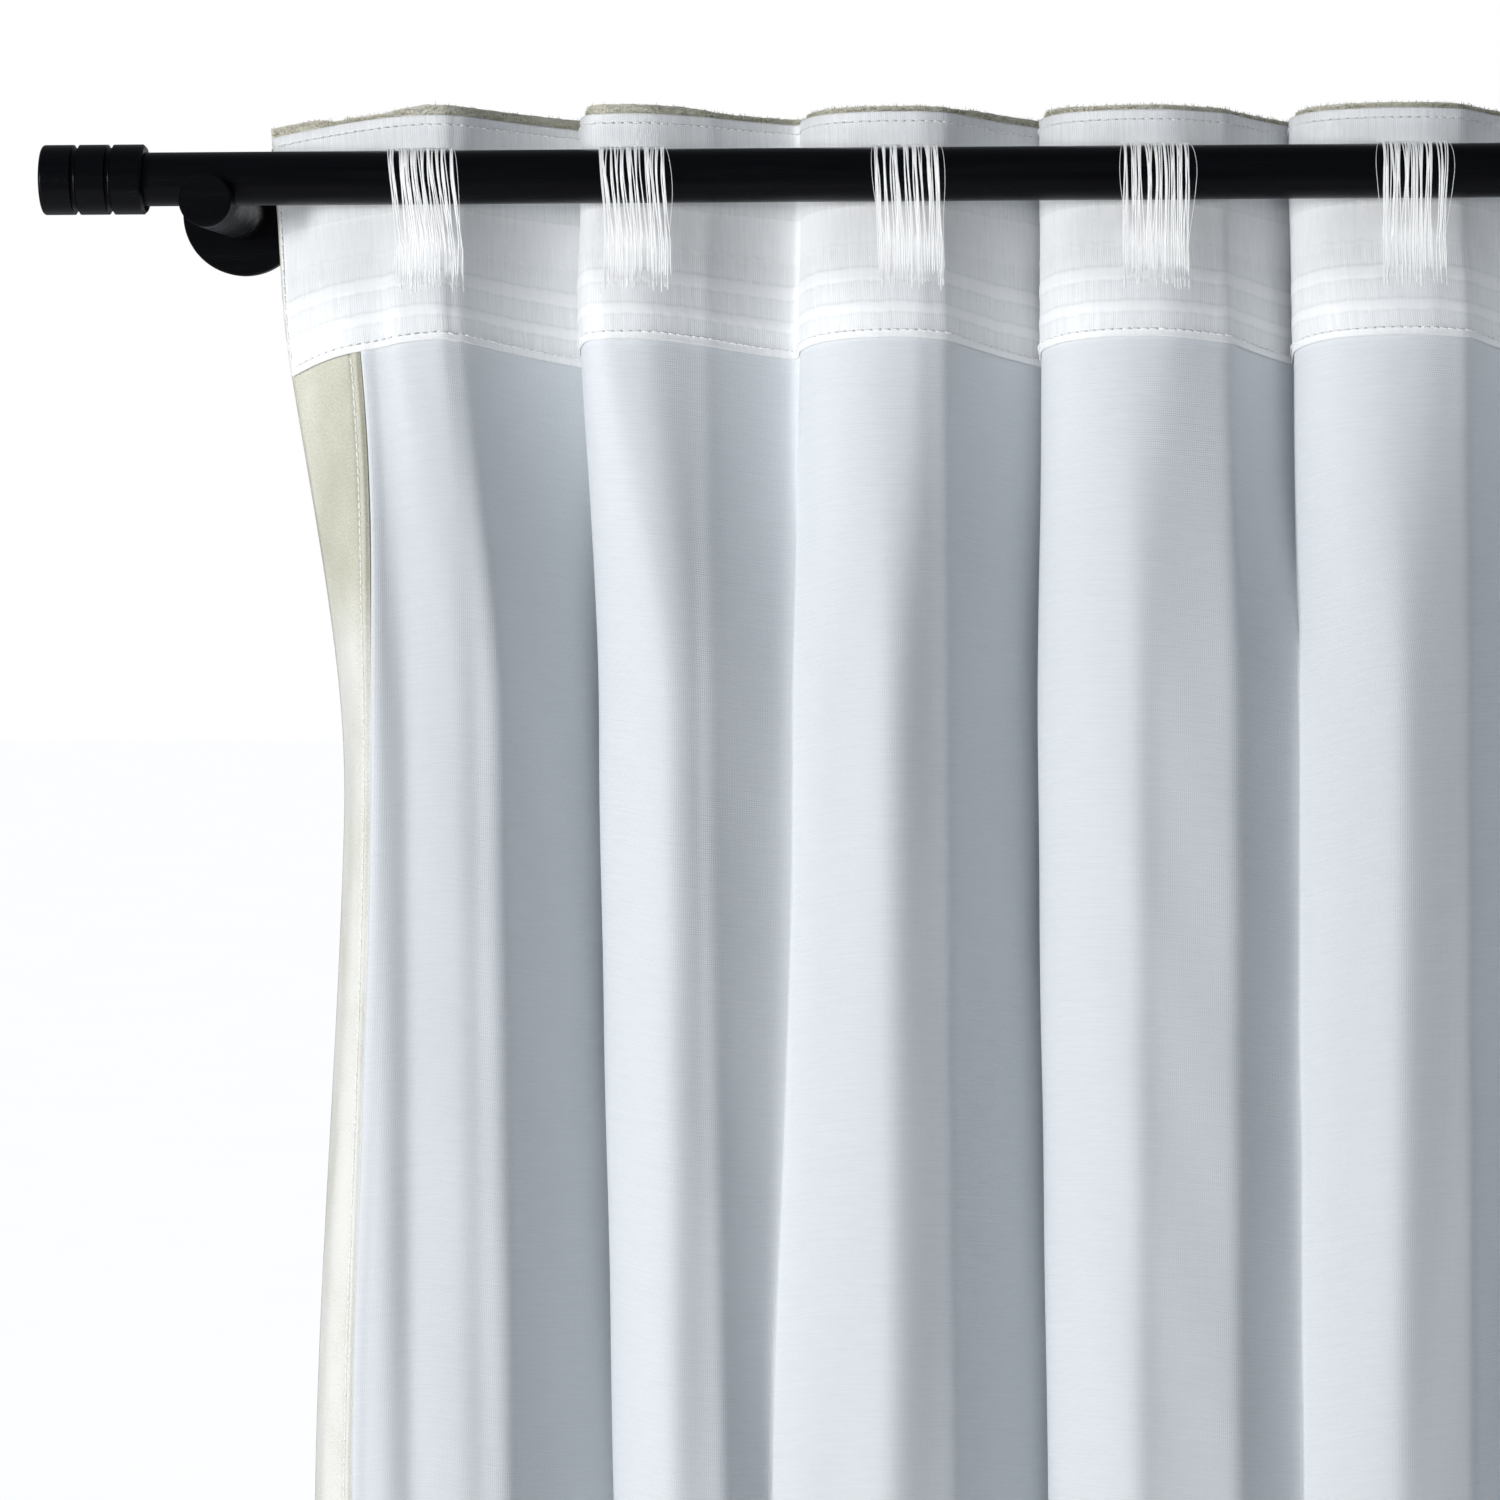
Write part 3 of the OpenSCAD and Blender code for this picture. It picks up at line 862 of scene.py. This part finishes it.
def strand_path(rng, loop, share, pull, stray):
    """One thread from the tape, over the rod's top and down its front, to the tape again.

    share is its place across the loop, from -1 to 1. pull and stray move its free part sideways.
    """
    half = LOOP_W / 2 - STRAND_R
    slant = share + rng.uniform(-0.05, 0.05)
    start, n_start = on_cloth(LOOP_S[loop] + share * half, LEAVE_V + rng.uniform(-0.3, 0.3) * MM)
    laid_v = np.linspace(LAND_V + rng.uniform(-6, 6) * MM, END_V + rng.uniform(-5, 2) * MM, LAID_STEPS)
    laid, n_laid = on_cloth(LOOP_S[loop] + slant * half, laid_v)
    start = start + n_start * (TAPE_FAR + 0.6 * MM)
    laid = laid + n_laid * np.linspace(1.5 * MM, 0.55 * MM, LAID_STEPS)[:, None]
    laid = laid + n_laid * TAPE_FAR
    lift = ROD_R + STRAND_R + rng.uniform(0.05, 0.6) * MM
    centre = np.array([ROD_Y, ROD_Z])

    def leave(point, sign):
        offset = point[1:] - centre
        away = max(np.linalg.norm(offset), lift)
        return math.atan2(offset[1], offset[0]) + sign * math.acos(min(1, lift / away))

    first = leave(start, 1)
    last = leave(laid[0], -1) % (2 * math.pi)
    turn = np.linspace(first, last, ARC_STEPS)
    arc = np.stack([np.zeros(ARC_STEPS), ROD_Y + lift * np.cos(turn), ROD_Z + lift * np.sin(turn)], axis=-1)
    rise = start + (arc[0] - start) * np.linspace(0, 0.85, 4)[:, None]
    run = arc[-1] + (laid[0] - arc[-1]) * np.linspace(0.1, 0.92, RUN_STEPS)[:, None]
    path = np.concatenate([rise, arc, run, laid])
    along = np.linspace(0, 1, len(path))
    free = np.sin(math.pi * np.clip(along / 0.86, 0, 1))
    wander = sum(rng.normal(0, 0.22 * MM) * np.sin(math.pi * k * along) for k in (1, 2, 3))
    path[:, 0] = mix(start[0], laid[-1][0], along) + wander + pull * free + stray * free**1.5
    return path


def make_thread_loops():
    """Each loop is a bundle of threads in loose clusters over the rod. A few threads bow out beside it."""
    loops = []
    for i in range(LOOPS):
        rng = np.random.default_rng(100 + i)
        shares = np.clip(np.linspace(-1, 1, STRANDS) + rng.normal(0, 0.02, STRANDS), -1, 1)
        centres = np.sort(np.linspace(-0.92, 0.92, CLUSTERS) + rng.normal(0, 0.05, CLUSTERS))
        paths = []
        for share in shares:
            centre = centres[np.argmin(abs(centres - share))]
            pull = (centre - share) * LOOP_W / 2 * rng.uniform(0.3, 0.62)
            paths.append(strand_path(rng, i, float(share), float(pull), 0.0))
        for side in (-1, 1):
            if i >= 2 or side > 0:
                paths.append(strand_path(rng, i, side * 0.97, 0.0, side * rng.uniform(2, 4.5) * MM))
        radii = [STRAND_R * rng.uniform(0.8, 1.15) for _ in shares]
        radii += [STRAY_R] * (len(paths) - STRANDS)
        verts, faces = tubes(paths, radii, 6)
        piece = new_piece(f"thread_bundle_{i + 1}", verts, faces, THREAD, f"loop_{i + 1}")
        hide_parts(f"thread_loop_{i + 1}")
        # thin threads let the light through to the tape behind them
        piece.visible_shadow = False
        loops.append(gathers(piece))
    return loops


# ---------------------------------------------------------------- assembly
finish_hardware()
face = make_face_fabric()
pile_edge = make_pile()
hems = [make_side_hem("side_hem_left", False), make_side_hem("side_hem_right", True), make_bottom_hem()]
lining = make_lining()
tape = make_tape()
stitching = make_stitching()
loops = make_thread_loops()


# ---------------------------------------------------------------- floor, light and camera
def make_floor():
    """A plain pale floor a little below the cloth. The camera sees it lifted to a studio white."""
    size, gap, glow = 40.0, 25 * MM, 0.78
    z = CLOTH_LO[2] - gap
    mesh = bpy.data.meshes.new("studio_floor")
    corners = [(-size, -size, z), (size, -size, z), (size, size, z), (-size, size, z)]
    mesh.from_pydata(corners, [], [(0, 1, 2, 3)])
    floor = bpy.data.objects.new("studio_floor", mesh)
    bpy.context.scene.collection.objects.link(floor)
    material, shader = node_material("pale_floor", (0.86, 0.86, 0.86), 0.8)
    grain = noise(material, object_place(material, UNIT), scale=3.0)
    colour = ramp(material, grain, [(0.3, (0.84, 0.84, 0.84)), (0.7, (0.88, 0.88, 0.88))])
    join(material, colour, shader.inputs["Base Color"])
    shader.inputs["Emission Color"].default_value = (1, 1, 1, 1)
    path = add(material, "ShaderNodeLightPath")
    lift = times(material, path.outputs["Is Camera Ray"], glow)
    join(material, lift, shader.inputs["Emission Strength"])
    mesh.materials.append(material)


def area_light(name, place, target, size, power, spread=180, glossy=True):
    """A soft rectangular lamp that the camera doesn't see. spread is in degrees."""
    data = bpy.data.lights.new(name, "AREA")
    data.shape = "RECTANGLE"
    data.size, data.size_y = size
    data.energy = power
    data.spread = math.radians(spread)
    lamp = bpy.data.objects.new(name, data)
    lamp.location = place
    lamp.rotation_euler = (Vector(target) - Vector(place)).to_track_quat("-Z", "Y").to_euler()
    lamp.visible_camera = False
    lamp.visible_glossy = glossy
    bpy.context.scene.collection.objects.link(lamp)
    return lamp


def make_world():
    """Soft even light, and a plain white background."""
    world = bpy.data.worlds.new("studio")
    world.use_nodes = True
    bpy.context.scene.world = world
    tree = world.node_tree
    light = tree.nodes["Background"]
    light.inputs["Color"].default_value = (0.84, 0.91, 1.0, 1)
    light.inputs["Strength"].default_value = 0.26
    seen = tree.nodes.new("ShaderNodeBackground")
    seen.inputs["Color"].default_value = (1, 1, 1, 1)
    seen.inputs["Strength"].default_value = 1.0
    path = tree.nodes.new("ShaderNodeLightPath")
    either = tree.nodes.new("ShaderNodeMixShader")
    tree.links.new(path.outputs["Is Camera Ray"], either.inputs["Fac"])
    tree.links.new(light.outputs["Background"], either.inputs[1])
    tree.links.new(seen.outputs["Background"], either.inputs[2])
    tree.links.new(either.outputs["Shader"], tree.nodes["World Output"].inputs["Surface"])


# The camera's place and aim, its roll in degrees, and the width that it sees at its aim
CAMERA_PLACE = (-0.184, ROD_Y - 2.4, -0.144)
CAMERA_TARGET = (-0.3115, ROD_Y, -0.2595)
CAMERA_ROLL = -0.2
VIEW_W = 0.709
SENSOR_W = 36


def make_camera():
    data = bpy.data.cameras.new("camera")
    camera = bpy.data.objects.new("camera", data)
    bpy.context.scene.collection.objects.link(camera)
    place, target = Vector(CAMERA_PLACE), Vector(CAMERA_TARGET)
    camera.location = place
    aim = (target - place).to_track_quat("-Z", "Y").to_matrix()
    roll = Matrix.Rotation(math.radians(CAMERA_ROLL), 3, "Z")
    camera.rotation_euler = (aim @ roll).to_euler()
    data.sensor_width = SENSOR_W
    data.lens = SENSOR_W * (target - place).length / VIEW_W
    bpy.context.scene.camera = camera


make_floor()
make_world()
area_light("key", (-2.6, -2.3, -0.02), (-0.2, -0.1, -0.2), (0.6, 0.9), 60)
area_light("low_key", (-2.6, -2.3, -1.5), (-0.2, -0.1, -1.2), (0.6, 0.9), 22)
area_light("heading_strip", (-0.1, -0.85, 0.0), (-0.1, -0.1, -0.01), (1.5, 0.06), 0.11, 26, False)
area_light("back", (1.6, 2.9, -0.2), (0.0, -0.1, -1.0), (1.2, 2.2), 100)
make_camera()
bpy.context.scene.view_settings.view_transform = "Standard"
